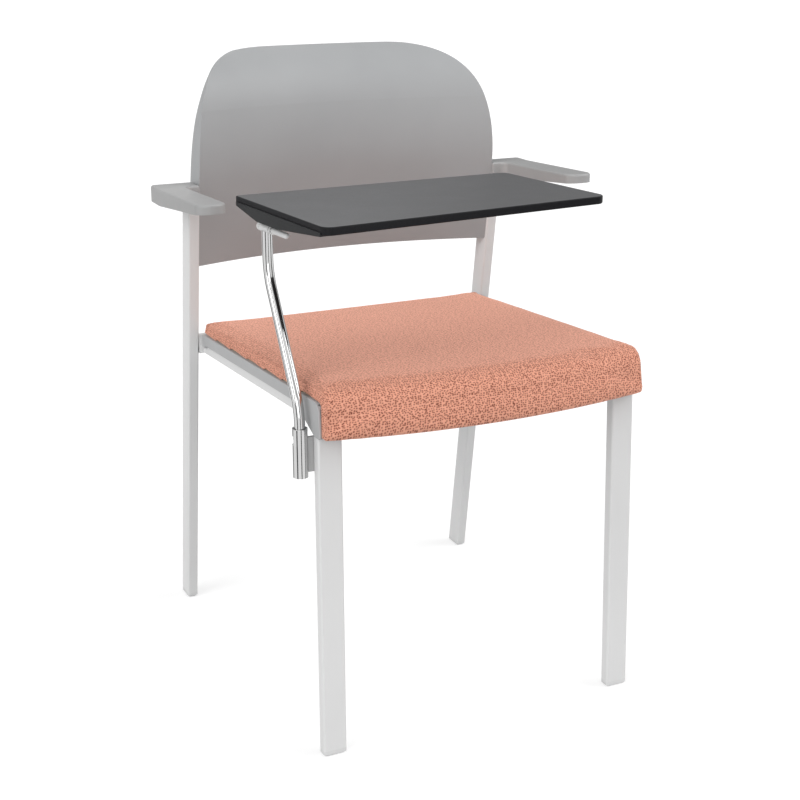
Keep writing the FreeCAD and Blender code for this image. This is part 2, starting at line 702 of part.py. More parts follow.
# Arm pads
def arm_pad():
    leg_top = rear_leg_centre(REAR_LEG_TOP)
    rear = leg_top.y + LEG_BROAD / 2 - ARM_REAR_INSET
    bar_front = leg_top.y - LEG_BROAD / 2 - ARM_OVERHANG
    inner = REAR_LEG_OUT + ARM_OFFSET
    outer = inner + ARM_WIDTH
    tip = rear - ARM_LENGTH
    hook = BACK_HALF
    corners = [
        (V(inner, tip, 0), ARM_TIP_ROUND),
        (V(outer, tip, 0), ARM_TIP_ROUND),
        (V(outer, rear, 0), ARM_CORNER),
        (V(hook, rear, 0), ARM_EDGE / 2),
        (V(hook, bar_front, 0), ARM_EDGE / 2),
        (V(inner, bar_front, 0), ARM_INNER_CORNER),
    ]
    plan = Part.Face(rounded_outline(corners)).extrude(V(0, 0, 2 * REAR_LEG_TOP))
    top = REAR_LEG_TOP + ARM_REAR_THICK
    side = prism([V(0, rear + 1, REAR_LEG_TOP), V(0, bar_front - ARM_INNER_CORNER, REAR_LEG_TOP),
                  V(0, tip - 1, top + ARM_RISE - ARM_TIP_THICK), V(0, tip - 1, top + ARM_RISE),
                  V(0, bar_front, top), V(0, rear + 1, top)], V(2 * outer, 0, 0))
    pad = plan.common(side)
    outline = [edge for edge in pad.Edges if edge.BoundBox.ZLength < ARM_TIP_THICK * 0.9
               and edge.BoundBox.ZMin > REAR_LEG_TOP + ARM_REAR_THICK - 0.5]
    crease = V(outer, bar_front, top)
    smooth = [edge for edge in outline if edge.distToShape(Part.Vertex(crease))[0] > ARM_EDGE
              or edge.BoundBox.XLength < ARM_WIDTH / 2]
    pad = pad.makeFillet(ARM_EDGE, smooth)
    slim = 2 * (TUBE_WALL + ARM_PEG_GAP)
    peg = raked_bar(REAR_FOOT, REAR_LEG_LEAN, LEG_NARROW - slim, LEG_BROAD - slim, TUBE_ROUND - TUBE_WALL,
                    REAR_LEG_TOP - ARM_PEG, REAR_LEG_TOP)
    pad = pad.fuse(peg)
    return pad.cut(rod(rear_screw_start(arm_screw_height()), REAR_LEG_NORMAL * -1,
                       SMALL_SCREW_D / 2 + HOLE_GAP, LEG_BROAD / 2))


# Swivel sleeve on the front leg
def ring(radius, bore, z0, z1, x, y):
    return rod(V(x, y, z0), UP, radius, z1 - z0).cut(rod(V(x, y, z0), UP, bore, z1 - z0))


def slot_angles():
    half = math.degrees(math.asin(STOP_PIN_D / 2 / SLEEVE_IN)) + STOP_PLAY
    return STOP_PIN_ANGLE - half, SWIVEL_RANGE + 2 * half


def slot_top_z():
    return SLEEVE_TOP_Z - SLOT_BELOW_TOP


def arm_sleeve():
    tube = ring(SLEEVE_OUT, SLEEVE_IN, SLEEVE_BOTTOM_Z, SLEEVE_TOP_Z, POST_X, SLEEVE_Y)
    start, sweep = slot_angles()
    slot = Part.makeCylinder(2 * SLEEVE_OUT, SLOT_HEIGHT, V(0, 0, slot_top_z() - SLOT_HEIGHT), UP, sweep)
    slot.rotate(V(0, 0, 0), UP, start)
    slot.translate(V(POST_X, SLEEVE_Y, 0))
    return tube.cut(slot)


def sleeve_bush(top):
    return ring(SLEEVE_IN, BUSH_IN, top - BUSH_LENGTH, top, POST_X, SLEEVE_Y)


def sleeve_cap():
    return rod(V(POST_X, SLEEVE_Y, SLEEVE_BOTTOM_Z), UP, SLEEVE_IN, SLEEVE_CAP)


POST_FOOT_Z = SLEEVE_BOTTOM_Z + SLEEVE_CAP + THRUST_DISC


def thrust_disc():
    return rod(V(POST_X, SLEEVE_Y, SLEEVE_BOTTOM_Z + SLEEVE_CAP), UP, SLEEVE_IN - FIT_GAP, THRUST_DISC)


def sleeve_bracket():
    """A plate on the back of the leg that reaches out to the sleeve."""
    z0 = SLEEVE_MID_Z - BRACKET_HEIGHT / 2
    centre = FRONT_FOOT + FRONT_LEG_LEAN * z0
    outer = POST_X
    inner = -centre.x - LEG_BROAD / 2 + BRACKET_LAP
    front = centre.y + LEG_NARROW / 2
    back = front + BRACKET_THICKNESS
    points = [V(outer, front, z0), V(inner, front, z0), V(inner, back, z0), V(outer, back, z0)]
    plate = prism(points, V(0, FRONT_LEG_LEAN.y, 1) * BRACKET_HEIGHT)
    plate = plate.cut(rod(V(POST_X, SLEEVE_Y, 0), UP, SLEEVE_OUT, REAR_LEG_TOP))
    hole = SCREW_D / 2 + HOLE_GAP
    for z in bracket_screw_heights():
        plate = plate.cut(rod(bracket_screw_seat(z) + LEG_NORMAL, LEG_NORMAL * -1, hole, LEG_NARROW))
    return plate


# Post
def hinge_point(along):
    """A point on the tablet's hinge axis, measured rearward from over the post."""
    yaw = math.radians(TABLET_YAW)
    return V(POST_X - math.sin(yaw) * along, POST_TOP_Y + math.cos(yaw) * along, HINGE_Z)


HINGE_FORWARD = (hinge_point(-1) - hinge_point(0)).normalize()


def post_path():
    """Upright, a bend rearward, a slanting run, and a bend back to upright."""
    angle = math.radians(POST_BEND_ANGLE)
    bend_z0 = SLEEVE_TOP_Z + POST_STRAIGHT
    rise = POST_BEND_R * math.sin(angle)
    shift = POST_BEND_R * (1 - math.cos(angle))
    run = (POST_OFFSET - 2 * shift) / math.sin(angle)
    half = angle / 2
    half_step = V(0, 1 - math.cos(half), math.sin(half)) * POST_BEND_R
    foot = V(POST_X, SLEEVE_Y, POST_FOOT_Z)
    first = V(POST_X, SLEEVE_Y, bend_z0)
    second = first + V(0, shift, rise)
    third = second + V(0, math.sin(angle), math.cos(angle)) * run
    fourth = third + V(0, shift, rise)
    top = V(POST_X, POST_TOP_Y, HINGE_Z - KNUCKLE_R / 2)
    edges = [line(foot, first), arc(first, first + half_step, second), line(second, third),
             arc(third, fourth - half_step, fourth), line(fourth, top)]
    return Part.Wire(edges)


def stop_pin_parts(radius, reach):
    angle = math.radians(STOP_PIN_ANGLE)
    start = V(POST_X, SLEEVE_Y, slot_top_z() - SLOT_HEIGHT / 2)
    return rod(start, V(math.cos(angle), math.sin(angle), 0), radius, reach)


def stop_pin():
    return stop_pin_parts(STOP_PIN_D / 2, SLEEVE_OUT - STOP_PIN_END_GAP)


def tablet_post():
    path = post_path()
    section = Part.Wire(Part.makeCircle(POST_R, V(POST_X, SLEEVE_Y, POST_FOOT_Z), UP))
    post = path.makePipeShell([section], True, False)
    barrel = rod(hinge_point(EAR_OUTER), HINGE_FORWARD, KNUCKLE_R, 2 * EAR_OUTER)
    post = post.cut(barrel)
    return post.cut(stop_pin_parts(STOP_PIN_D / 2, POST_D))


def post_knuckle():
    """The barrel across the post's top, with the lug that the open tablet rests on."""
    half = KNUCKLE_LENGTH / 2
    barrel = rod(hinge_point(half), HINGE_FORWARD, KNUCKLE_R, KNUCKLE_LENGTH)
    along = HINGE_SETBACK - LUG_LENGTH / 2
    lug = box(HINGE_INSET, HINGE_INSET + LUG_REACH, along, along + LUG_LENGTH, HINGE_Z - KNUCKLE_R / 2,
              LEAF_UNDER_Z - REST_GAP)
    barrel = barrel.fuse(on_tablet(lug))
    bore = rod(hinge_point(half), HINGE_FORWARD, HINGE_PIN_D / 2 + FIT_GAP, KNUCKLE_LENGTH)
    return barrel.cut(bore).removeSplitter()


def hinge_washers():
    both = []
    for side in (-1, 1):
        start = hinge_point(side * KNUCKLE_LENGTH / 2 + (HINGE_WASHER if side > 0 else 0))
        outer = rod(start, HINGE_FORWARD, KNUCKLE_R, HINGE_WASHER)
        both.append(outer.cut(rod(start, HINGE_FORWARD, HINGE_PIN_D / 2 + FIT_GAP, HINGE_WASHER)))
    return Part.makeCompound(both)


# Tablet and hinge
def ear(start):
    """One ear of the hinge leaf, rounded round the pin and leaning in under the tablet."""
    half = EAR_WIDTH / 2
    x = HINGE_INSET
    low = HINGE_Z
    y = HINGE_SETBACK + start
    inner = V(x + half + EAR_LEAN, y, LEAF_UNDER_Z)
    outer = V(x - half + EAR_LEAN, y, LEAF_UNDER_Z)
    edges = [line(V(x + half, y, low), inner),
             line(inner, outer),
             line(outer, V(x - half, y, low)),
             arc(V(x - half, y, low), V(x, y, low - half), V(x + half, y, low))]
    plate = Part.Face(Part.Wire(edges)).extrude(V(0, EAR_THICKNESS, 0))
    return plate.cut(rod(V(x, y, low), V(0, 1, 0), HINGE_PIN_D / 2 + FIT_GAP, EAR_THICKNESS))


def leaf_screw_places():
    half = LEAF_SCREW_SPREAD / 2
    xs = (HINGE_INSET + LUG_REACH + SMALL_HEAD_D / 2, HINGE_INSET + LEAF_REACH - SMALL_HEAD_D)
    return [V(x, HINGE_SETBACK + sy * half, LEAF_UNDER_Z) for x in xs for sy in (-1, 1)]


def hinge_leaf():
    plate = box(HINGE_INSET - EAR_WIDTH / 2 + EAR_LEAN, HINGE_INSET + LEAF_REACH, HINGE_SETBACK - EAR_OUTER,
                HINGE_SETBACK + EAR_OUTER, LEAF_UNDER_Z, TABLET_UNDER_Z)
    leaf = plate.fuse(ear(EAR_INNER)).fuse(ear(-EAR_OUTER)).removeSplitter()
    for place in leaf_screw_places():
        leaf = leaf.cut(rod(place, UP, SMALL_SCREW_D / 2 + HOLE_GAP, LEAF_THICKNESS))
    return on_tablet(leaf)


def hinge_pin():
    """A headed pin with a long round-ended nose at the front."""
    head = rod(hinge_point(EAR_OUTER + PIN_HEAD_H), HINGE_FORWARD, PIN_HEAD_D / 2, PIN_HEAD_H)
    nose = hinge_point(-EAR_OUTER - PIN_NOSE)
    shank = rod(hinge_point(EAR_OUTER), HINGE_FORWARD, HINGE_PIN_D / 2, 2 * EAR_OUTER + PIN_NOSE)
    return head.fuse(shank).fuse(Part.makeSphere(HINGE_PIN_D / 2, nose)).removeSplitter()


def hinge_clip():
    start = hinge_point(-EAR_OUTER)
    outer = rod(start, HINGE_FORWARD, PIN_HEAD_D / 2, CLIP_THICKNESS)
    return outer.cut(rod(start, HINGE_FORWARD, HINGE_PIN_D / 2 + FIT_GAP, CLIP_THICKNESS))


FAIRING_SCREW_SEAT = TABLET_UNDER_Z - FAIRING_LIP


def fairing_screw_places():
    near = FAIRING_WALL + SMALL_HEAD_D
    return [V(near, FAIRING_FLAT_FRONT / 2, FAIRING_SCREW_SEAT),
            V(near, HINGE_SETBACK - EAR_OUTER - 2 * SMALL_HEAD_D, FAIRING_SCREW_SEAT),
            V(near, (HINGE_SETBACK + EAR_OUTER + TABLET_LEFT) / 2, FAIRING_SCREW_SEAT)]


def tablet_top():
    under = TABLET_UNDER_Z
    far_front = V(TABLET_FRONT, -TABLET_FRONT_SKEW, under)
    far_rear = far_front + V(-TABLET_RIGHT_INSET, TABLET_RIGHT, 0)
    corners = [
        (V(0, 0, under), TABLET_CORNER),
        (far_front, TABLET_CORNER),
        (far_rear, TABLET_CORNER),
        (V(0, TABLET_LEFT, under), TABLET_REAR_CORNER),
    ]
    slab = Part.Face(rounded_outline(corners)).extrude(V(0, 0, TABLET_THICKNESS))
    level = [edge for edge in slab.Edges if edge.BoundBox.ZLength < TABLET_EDGE / 2]
    slab = slab.makeFillet(TABLET_EDGE, level)
    for place in leaf_screw_places() + fairing_screw_places():
        start = V(place.x, place.y, TABLET_UNDER_Z)
        slab = slab.cut(rod(start, UP, SMALL_SCREW_D / 2 + HOLE_GAP, TABLET_SCREW_BITE))
    return on_tablet(slab)


def tablet_fairing():
    """A hollow keel under the tablet's hinge edge, deepest about its middle."""
    top = TABLET_UNDER_Z
    deep = top - FAIRING_DROP
    lip = top - FAIRING_LIP
    y0 = TABLET_CORNER / 2 + FAIRING_END
    y1 = TABLET_LEFT - FAIRING_END - TABLET_REAR_CORNER / 2
    side = prism([V(0, y0, top), V(0, y0, lip), V(0, FAIRING_FLAT_FRONT, deep), V(0, FAIRING_FLAT_REAR, deep),
                  V(0, y1, lip), V(0, y1, top)], V(FAIRING_WIDTH + FAIRING_PROUD, 0, 0))
    side.translate(V(-FAIRING_PROUD, 0, 0))
    x0 = -FAIRING_PROUD
    x1 = FAIRING_WIDTH
    flat_end = x0 + FAIRING_FLAT_WIDTH
    across = prism([V(x0, 0, top), V(x0, 0, deep), V(flat_end, 0, deep), V(x1, 0, lip), V(x1, 0, top)],
                   V(0, TABLET_LEFT, 0))
    keel = side.common(across)
    keel = keel.fuse(box(x0, -FAIRING_LAP_GAP, y0, y1, top - FAIRING_LIP, top + FAIRING_LAP)).removeSplitter()
    swing = math.hypot(LUG_REACH, LEAF_UNDER_Z - HINGE_Z) + POCKET_GAP
    pocket_end = max(HINGE_INSET + swing, HINGE_INSET + LEAF_REACH + POCKET_GAP)
    reach = EAR_OUTER + PIN_HEAD_H + POCKET_GAP
    pocket = box(FAIRING_WALL - FAIRING_PROUD, pocket_end, HINGE_SETBACK - reach, HINGE_SETBACK + reach,
                 deep - FAIRING_DROP, top)
    keel = keel.cut(pocket)
    for place in fairing_screw_places():
        keel = keel.cut(rod(place - V(0, 0, FAIRING_DROP), UP, SMALL_HEAD_D / 2 + ACCESS_GAP, FAIRING_DROP))
        keel = keel.cut(rod(place, UP, SMALL_SCREW_D / 2 + HOLE_GAP, FAIRING_LIP))
    return on_tablet(keel)


# Groups of like screws
def seat_screws():
    length = PAN_WALL + TUBE_WALL + BOARD_SCREW_BITE
    under = V(0, 0, RAIL_TOP - TUBE_WALL)
    return on_seat(Part.makeCompound([screw(place + under, UP, SCREW_D, length, SCREW_HEAD_D, SCREW_HEAD_H)
                                      for place in seat_screw_places()]))


def rear_screws(heights, length):
    rows = []
    for z in heights:
        start = rear_screw_start(z)
        one = screw(start, REAR_LEG_NORMAL * -1, SMALL_SCREW_D, length, SMALL_HEAD_D, SMALL_HEAD_H)
        rows += [mirrored(one), one]
    return Part.makeCompound(rows)


def bracket_screws():
    return Part.makeCompound([screw(bracket_screw_seat(z), LEG_NORMAL * -1, SCREW_D,
                                    BRACKET_THICKNESS + BRACKET_SCREW_LENGTH, SCREW_HEAD_D, SCREW_HEAD_H)
                              for z in bracket_screw_heights()])


def tablet_screws(places, grip):
    return on_tablet(Part.makeCompound([screw(place, UP, SMALL_SCREW_D, grip + TABLET_SCREW_BITE - HOLE_GAP,
                                              SMALL_HEAD_D, SMALL_HEAD_H) for place in places]))


PIECES = {
    "front_leg_left": front_leg(False),
    "front_leg_right": front_leg(True),
    "rear_leg_left": rear_leg(),
    "rear_leg_right": mirrored(rear_leg()),
    "side_rail_left": side_rail(),
    "side_rail_right": mirrored(side_rail()),
    "front_cross_tube": front_cross_tube(),
    "rear_cross_tube": rear_cross_tube(),
    "front_foot_cap_left": foot_cap(FRONT_FOOT, FRONT_LEG_LEAN, LEG_BROAD, LEG_NARROW),
    "front_foot_cap_right": mirrored(foot_cap(FRONT_FOOT, FRONT_LEG_LEAN, LEG_BROAD, LEG_NARROW)),
    "rear_foot_cap_left": foot_cap(REAR_FOOT, REAR_LEG_LEAN, LEG_NARROW, LEG_BROAD),
    "rear_foot_cap_right": mirrored(foot_cap(REAR_FOOT, REAR_LEG_LEAN, LEG_NARROW, LEG_BROAD)),
    "seat_pan": seat_pan(),
    "seat_board": seat_board(),
    "seat_cushion": seat_cushion(),
    "seat_screws": seat_screws(),
    "back_shell": back_shell(),
    "back_screws": rear_screws(back_peg_heights(), LEG_BROAD / 2 + BACK_PEG_D / 4),
    "arm_pad_left": arm_pad(),
    "arm_pad_right": mirrored(arm_pad()),
    "arm_pad_screws": rear_screws([arm_screw_height()], LEG_BROAD / 3),
    "swivel_sleeve": arm_sleeve(),
    "sleeve_bracket": sleeve_bracket(),
    "bracket_screws": bracket_screws(),
    "upper_bush": sleeve_bush(SLEEVE_TOP_Z),
    "lower_bush": sleeve_bush(POST_FOOT_Z + 2 * BUSH_LENGTH),
    "sleeve_end_cap": sleeve_cap(),
    "thrust_disc": thrust_disc(),
    "tablet_post": tablet_post(),
    "stop_pin": stop_pin(),
    "post_knuckle": post_knuckle(),
    "hinge_washers": hinge_washers(),
    "hinge_leaf": hinge_leaf(),
    "hinge_pin": hinge_pin(),
    "hinge_clip": hinge_clip(),
    "leaf_screws": tablet_screws(leaf_screw_places(), LEAF_THICKNESS),
    "tablet_fairing": tablet_fairing(),
    "fairing_screws": tablet_screws(fairing_screw_places(), FAIRING_LIP),
    "tablet_top": tablet_top(),
}

# The origin goes under the middle of the chair's outer box
whole = Part.makeCompound(list(PIECES.values())).optimalBoundingBox()
shift = V(-whole.Center.x, -whole.Center.y, -whole.ZMin)
for name, shape in PIECES.items():
    shape.translate(shift)
    shape.exportStep("parts/" + name + ".step")
    print(name, "valid" if shape.isValid() else "NOT VALID", len(shape.Solids), round(shape.Volume))
print("moved by", shift)
print("swivel axis", V(POST_X, SLEEVE_Y, 0) + shift)
print("hinge axis", hinge_point(0) + shift, HINGE_FORWARD)
print("box", whole.XLength, whole.YLength, whole.ZLength)
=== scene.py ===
import json
import math

import bmesh
import bpy
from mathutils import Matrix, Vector


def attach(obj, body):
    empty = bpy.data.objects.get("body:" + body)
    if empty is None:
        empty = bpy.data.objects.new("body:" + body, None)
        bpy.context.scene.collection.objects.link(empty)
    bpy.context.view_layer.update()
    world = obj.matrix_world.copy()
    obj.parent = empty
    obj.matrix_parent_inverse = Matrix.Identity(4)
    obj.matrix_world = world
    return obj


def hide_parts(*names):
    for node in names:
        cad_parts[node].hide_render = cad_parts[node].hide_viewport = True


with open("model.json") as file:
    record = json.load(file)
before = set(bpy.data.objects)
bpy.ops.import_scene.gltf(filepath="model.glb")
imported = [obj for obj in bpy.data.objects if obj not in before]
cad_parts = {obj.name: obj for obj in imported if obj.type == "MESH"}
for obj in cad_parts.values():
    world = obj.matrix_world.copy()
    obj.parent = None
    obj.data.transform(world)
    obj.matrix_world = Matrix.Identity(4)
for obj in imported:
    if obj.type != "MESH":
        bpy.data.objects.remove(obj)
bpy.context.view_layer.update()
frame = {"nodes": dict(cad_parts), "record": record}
nodes = frame["nodes"]

# Camera, at the photograph's viewing angle (metres, millimetres for the lens)
CAMERA_PLACE = (-0.7979, -1.69635, 0.9734)
CAMERA_AIM = (0.4032, 0.8599, -0.3132)
CAMERA_LENS = 66.34
CAMERA_SENSOR = 36.0

# Cushion: mesh size, cloth pressure, the simulation's frames, and the most that a point may move (metres)
VOXEL_SIZE = 0.004
SWELL_PRESSURE = 4.0
SWELL_FRAMES = 20
SWELL_MOST = 0.003

# Cushion: limits of a normal's height and depth, past which a point looks down or back and is held
LOOKS_DOWN = -0.5
LOOKS_BACK = 0.6

# Floor: half its width, its depth under the feet, its colour, and the glow that whitens it where it is seen
FLOOR_REACH = 40.0
FLOOR_DROP = 0.0006
FLOOR_TONE = 0.55
FLOOR_GLOW = 0.56

# Cards that only reflections show: name, bearing from the post in degrees, distance, width, and tone
CARD_HEIGHT = 1.3
CARDS = (
    ("card_front", -92.0, 0.75, 0.16, 0.03),
    ("card_side", 205.0, 0.75, 0.26, 0.15),
    ("card_left", -30.0, 0.75, 0.30, 0.12),
    ("card_rear", 125.0, 0.75, 0.30, 0.16),
    ("card_tablet", 41.0, 1.16, 0.75, 0.20),
)

# World: its strength as a light, and as the background that is seen
WORLD_LIGHT = 0.50
WORLD_SEEN = 1.0

# Suns: name, strength, and direction; all have the same softness in degrees
SUN_SOFTNESS = 45.0
SUNS = (
    ("key", 1.40, (-0.75, 0.35, -0.60)),
    ("side", 1.45, (0.80, 0.30, -0.50)),
    ("fill", 0.62, (0.35, 0.92, -0.20)),
)

# Colour sockets of the Mix node, by number, because its sockets for other kinds of data share their names
MIX_FIRST = 6
MIX_SECOND = 7
MIX_RESULT = 2

# The span of a noise in which a coat's or a moulding's colour changes
DRIFT_LOW = 0.3
DRIFT_HIGH = 0.7

# Tablet: the span of the noise that makes its specks, and its colours from dark to light specks
SPECK_SPAN = (0.35, 0.65)
LAMINATE_FACE = ((0.104, 0.105, 0.108, 1), (0.120, 0.121, 0.125, 1))
LAMINATE_EDGE = ((0.006, 0.006, 0.007, 1), (0.010, 0.010, 0.012, 1))

# Weave colours, from the painted shade at the bottom of a pit to the coral at the top of a loop, and the pits
# in a metre
WEAVE_AND_PIT_SHADE_STOPS = (
    (0.13, (0.16, 0.047, 0.031, 1)),
    (0.26, (0.48, 0.190, 0.127, 1)),
    (0.40, (0.68, 0.315, 0.220, 1)),
    (0.80, (0.79, 0.385, 0.272, 1)),
)
WEAVE_SHEEN = (1.0, 0.55, 0.43, 1.0)
WEAVE_PITS = 330.0

# Plywood colours
PLY_STOPS = ((0.2, (0.36, 0.24, 0.13, 1)), (0.8, (0.52, 0.38, 0.23, 1)))


def make_camera():
    data = bpy.data.cameras.new("photo_camera")
    data.sensor_width = CAMERA_SENSOR
    data.lens = CAMERA_LENS
    camera = bpy.data.objects.new("photo_camera", data)
    bpy.context.scene.collection.objects.link(camera)
    camera.location = CAMERA_PLACE
    camera.rotation_euler = Vector(CAMERA_AIM).to_track_quat("-Z", "Y").to_euler()
    bpy.context.scene.camera = camera


# Small helpers for shader trees
class Tree:
    """A material's node tree with short calls for adding and joining nodes."""

    def __init__(self, name):
        self.material = bpy.data.materials.new(name)
        self.material.use_nodes = True
        self.nodes = self.material.node_tree.nodes
        self.links = self.material.node_tree.links
        self.shader = self.nodes["Principled BSDF"]

    def add(self, kind, **sockets):
        node = self.nodes.new(kind)
        for name, value in sockets.items():
            self.feed(node.inputs[name.replace("_", " ")], value)
        return node

    def feed(self, socket, value):
        if isinstance(value, bpy.types.NodeSocket):
            self.links.new(value, socket)
        else:
            socket.default_value = value

    def place(self):
        return self.add("ShaderNodeTexCoord").outputs["Object"]

    def noise(self, scale, detail=2.0):
        node = self.add("ShaderNodeTexNoise", Vector=self.place(), Scale=scale, Detail=detail, Roughness=0.5)
        return node.outputs["Fac"]

    def ramp(self, factor, stops):
        node = self.add("ShaderNodeValToRGB", Fac=factor)
        ramp = node.color_ramp
        while len(ramp.elements) < len(stops):
            ramp.elements.new(0.5)
        for element, (place, colour) in zip(ramp.elements, stops):
            element.position = place
            element.color = colour
        return node.outputs["Color"]

    def spread(self, factor, low, high):
        node = self.add("ShaderNodeMapRange", Value=factor, To_Min=low, To_Max=high)
        return node.outputs["Result"]

    def rise(self, factor, low, high):
        node = self.add("ShaderNodeMapRange", Value=factor, From_Min=low, From_Max=high)
        return node.outputs["Result"]

    def math(self, operation, a, b):
        node = self.add("ShaderNodeMath")
        node.operation = operation
        self.feed(node.inputs[0], a)
        self.feed(node.inputs[1], b)
        return node.outputs[0]

    def bump(self, height, strength, distance):
        node = self.add("ShaderNodeBump", Height=height, Strength=strength, Distance=distance)
        self.links.new(node.outputs["Normal"], self.shader.inputs["Normal"])

    def set(self, **sockets):
        for name, value in sockets.items():
            self.feed(self.shader.inputs[name.replace("_", " ")], value)


def grey(value, cool=0.0):
    return (value - cool, value, value + cool, 1.0)


# Materials
def moulded_plastic(name, tone, roughness, cool=0.0, gloss=0.5):
    """Grey moulded plastic with a fine spark-eroded grain and slight unevenness in its colour."""
    tree = Tree(name)
    drift = tree.noise(scale=9.0, detail=3.0)
    stops = [(DRIFT_LOW, grey(tone * 0.97, cool)), (DRIFT_HIGH, grey(tone * 1.03, cool))]
    tree.set(Base_Color=tree.ramp(drift, stops))
    tree.set(Roughness=tree.spread(tree.noise(scale=60.0), low=roughness - 0.05, high=roughness + 0.05))
    tree.set(Specular_IOR_Level=gloss)
    tree.bump(tree.noise(scale=1400.0, detail=1.0), strength=0.35, distance=0.00012)
    return tree.material


def painted_metal(name, tone, roughness):
    """Powder coat with a faint orange peel."""
    tree = Tree(name)
    drift = tree.noise(scale=7.0, detail=2.0)
    stops = [(DRIFT_LOW, grey(tone * 0.98)), (DRIFT_HIGH, grey(tone * 1.02))]
    tree.set(Base_Color=tree.ramp(drift, stops))
    tree.set(Roughness=tree.spread(tree.noise(scale=45.0), low=roughness - 0.04, high=roughness + 0.04))
    tree.bump(tree.noise(scale=520.0, detail=1.0), strength=0.12, distance=0.00015)
    return tree.material


def bright_metal(name, tone, roughness):
    """Plated metal with faint haze and a slight unevenness."""
    tree = Tree(name)
    tree.set(Metallic=1.0)
    haze = tree.noise(scale=30.0, detail=4.0)
    tree.set(Base_Color=tree.ramp(haze, [(DRIFT_LOW, grey(tone * 0.96)), (DRIFT_HIGH, grey(tone))]))
    tree.set(Roughness=tree.spread(haze, low=roughness * 0.7, high=roughness * 1.3))
    tree.bump(tree.noise(scale=900.0, detail=2.0), strength=0.01, distance=0.00005)
    return tree.material


def dark_laminate():
    """A dark grey laminate with a fine pearl texture on the upper face, and black edges and underside."""
    tree = Tree("dark_laminate")
    speck = tree.noise(scale=700.0, detail=2.0)
    face = tree.ramp(speck, list(zip(SPECK_SPAN, LAMINATE_FACE)))
    edge = tree.ramp(speck, list(zip(SPECK_SPAN, LAMINATE_EDGE)))
    facing = tree.add("ShaderNodeSeparateXYZ", Vector=tree.add("ShaderNodeTexCoord").outputs["Normal"])
    blend = tree.add("ShaderNodeMix")
    blend.data_type = "RGBA"
    tree.feed(blend.inputs["Factor"], tree.rise(facing.outputs["Z"], low=0.90, high=0.97))
    tree.feed(blend.inputs[MIX_FIRST], edge)
    tree.feed(blend.inputs[MIX_SECOND], face)
    tree.set(Base_Color=blend.outputs[MIX_RESULT])
    tree.set(Roughness=tree.spread(tree.noise(scale=25.0, detail=3.0), low=0.42, high=0.50))
    tree.set(Specular_IOR_Level=0.16)
    tree.bump(tree.noise(scale=1100.0, detail=1.0), strength=0.10, distance=0.0001)
    return tree.material


def plywood():
    """Raw plywood with wavy grain."""
    tree = Tree("plywood")
    wave = tree.add("ShaderNodeTexWave", Vector=tree.place(), Scale=14.0, Distortion=6.0, Detail=3.0)
    tree.set(Base_Color=tree.ramp(wave.outputs["Fac"], PLY_STOPS), Roughness=0.7)
    tree.bump(wave.outputs["Fac"], strength=0.2, distance=0.0004)
    return tree.material


def pebble_fabric():
    """A coral pebble weave: fine light loops with small pits between them, which are darkened with painted
    shade.

    The pits are laid out flat along the seat's width and over its nose. On the seat's sides, height stands in
    for width, so that the pits aren't drawn out into streaks there.
    """
    tree = Tree("pebble_fabric")
    coords = tree.add("ShaderNodeTexCoord").outputs
    spot = tree.add("ShaderNodeSeparateXYZ", Vector=coords["Object"]).outputs
    facing = tree.add("ShaderNodeSeparateXYZ", Vector=coords["Normal"]).outputs
    side = tree.rise(tree.math("ABSOLUTE", facing["X"], 0.0), low=0.6, high=0.8)
    flat = tree.add("ShaderNodeCombineXYZ")
    tree.feed(flat.inputs["X"], tree.math("ADD", spot["X"], tree.math("MULTIPLY", spot["Z"], side)))
    tree.feed(flat.inputs["Y"], tree.math("ADD", spot["Y"], spot["Z"]))
    pits = tree.add("ShaderNodeTexVoronoi", Vector=flat.outputs[0], Scale=WEAVE_PITS, Randomness=0.7)
    pits.voronoi_dimensions = "2D"
    size = tree.spread(tree.noise(scale=220.0, detail=1.0), low=-0.22, high=0.22)
    height = tree.math("ADD", pits.outputs["Distance"], size)
    # The weave's coral, darkened towards the bottom of each pit: painted shade in the pits
    tree.set(Base_Color=tree.ramp(height, WEAVE_AND_PIT_SHADE_STOPS), Roughness=0.92, Specular_IOR_Level=0.08)
    tree.set(Sheen_Weight=1.0, Sheen_Roughness=0.45, Sheen_Tint=WEAVE_SHEEN)
    tree.bump(height, strength=0.4, distance=0.0006)
    return tree.material


def paint_nodes():
    finishes = {
        "frame_paint": painted_metal("frame_paint", tone=0.69, roughness=0.42),
        "foot_plastic": moulded_plastic("foot_plastic", tone=0.66, roughness=0.55),
        "pan_plastic": moulded_plastic("pan_plastic", tone=0.41, roughness=0.48, cool=0.004),
        "board_wood": plywood(),
        "seat_fabric": pebble_fabric(),
        "back_plastic": moulded_plastic("back_plastic", tone=0.345, roughness=0.50, cool=0.007),
        "arm_plastic": moulded_plastic("arm_plastic", tone=0.345, roughness=0.48),
        "bracket_metal": painted_metal("bracket_metal", tone=0.48, roughness=0.45),
        "chrome": bright_metal("chrome", tone=0.60, roughness=0.09),
        "hinge_paint": painted_metal("hinge_paint", tone=0.70, roughness=0.40),
        "steel": bright_metal("steel", tone=0.60, roughness=0.36),
        "bush_plastic": moulded_plastic("bush_plastic", tone=0.04, roughness=0.5),
        "tablet_laminate": dark_laminate(),
        "fairing_plastic": moulded_plastic("fairing_plastic", tone=0.011, roughness=0.40, cool=0.001,
                                           gloss=0.35),
    }
    for part in frame["record"]["subparts"]:
        data = nodes[part["node"]].data
        data.materials.clear()
        data.materials.append(finishes[part["material_slot"]])
    return finishes


# Cushion: the solid's form, remeshed, drawn onto the solid again, and swelled as tight foam under cloth
def apply_modifier(obj, name):
    bpy.ops.object.select_all(action="DESELECT")
    obj.select_set(True)
    bpy.context.view_layer.objects.active = obj
    bpy.ops.object.modifier_apply(modifier=name)


